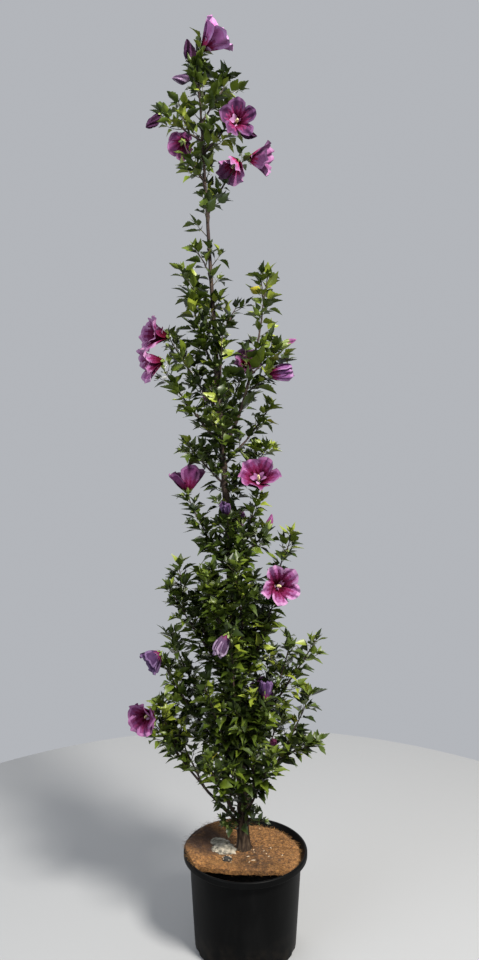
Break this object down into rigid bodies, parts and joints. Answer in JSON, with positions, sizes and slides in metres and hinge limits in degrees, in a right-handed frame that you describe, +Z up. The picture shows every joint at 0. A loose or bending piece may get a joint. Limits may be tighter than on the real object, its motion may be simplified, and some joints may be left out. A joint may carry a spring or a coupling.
{
  "type": "potted rose of sharon shrub",
  "caption": "Slim, tall flowering shrub with a leaning stem, leafy boughs and open and furled blossom, standing in a round nursery pot.",
  "frame": {"origin": "centre of the pot's flat underside", "axes": "+Z up along the pot's axis, -Y towards the front, +X to the right"},
  "size_m": [0.5898, 0.4311, 2.7045],
  "materials": {
    "pot_plastic": "black moulded plastic, satin, lightly scuffed",
    "potting_mix": "dark damp potting mix",
    "coir": "orange-brown coconut fibre, rough",
    "stone": "pale grey and cream, dull",
    "bark": "grey-brown bark with fine fissures",
    "foliage": "green leaves on purple-brown twigs, with lilac-pink blossom"
  },
  "bodies": {
    "root": {"pot": "pot_plastic", "soil": "potting_mix", "coir_mat": "coir", "pale_stone": "stone", "trunk": "bark", "bough_back_left_low": "bark", "bough_back_right_low": "bark", "bough_front_left_low": "bark", "bough_front_right_low": "bark", "bough_left_low": "bark", "bough_right_leader": "bark", "bough_right_low": "bark", "foliage_back_left_high": "foliage", "foliage_back_left_low": "foliage", "foliage_back_low": "foliage", "foliage_back_mid": "foliage", "foliage_back_middle": "foliage", "foliage_back_right_high": "foliage", "foliage_back_right_low": "foliage", "foliage_back_right_mid": "foliage", "foliage_back_right_middle": "foliage", "foliage_back_top": "foliage", "foliage_back_waist": "foliage", "foliage_foot": "foliage", "foliage_front_high": "foliage", "foliage_front_left_high": "foliage", "foliage_front_left_low": "foliage", "foliage_front_left_middle": "foliage", "foliage_front_mid": "foliage", "foliage_front_middle": "foliage", "foliage_front_right_high": "foliage", "foliage_front_right_low": "foliage", "foliage_front_right_middle": "foliage", "foliage_front_upper_mid": "foliage", "foliage_front_waist": "foliage", "foliage_left_flower_mid": "foliage", "foliage_left_flower_shoot": "foliage", "foliage_left_high": "foliage", "foliage_left_low": "foliage", "foliage_left_lower_mid": "foliage", "foliage_left_middle": "foliage", "foliage_left_spire": "foliage", "foliage_left_thin": "foliage", "foliage_left_top": "foliage", "foliage_left_top_high": "foliage", "foliage_left_upper_mid": "foliage", "foliage_left_upright": "foliage", "foliage_right_flower_shoot": "foliage", "foliage_right_high": "foliage", "foliage_right_leader": "foliage", "foliage_right_low": "foliage", "foliage_right_lower_mid": "foliage", "foliage_right_mid": "foliage", "foliage_right_thin": "foliage", "foliage_right_top": "foliage", "foliage_right_top_high": "foliage", "foliage_right_top_low": "foliage", "foliage_right_upright": "foliage", "foliage_tip": "foliage"}
  },
  "joints": []
}
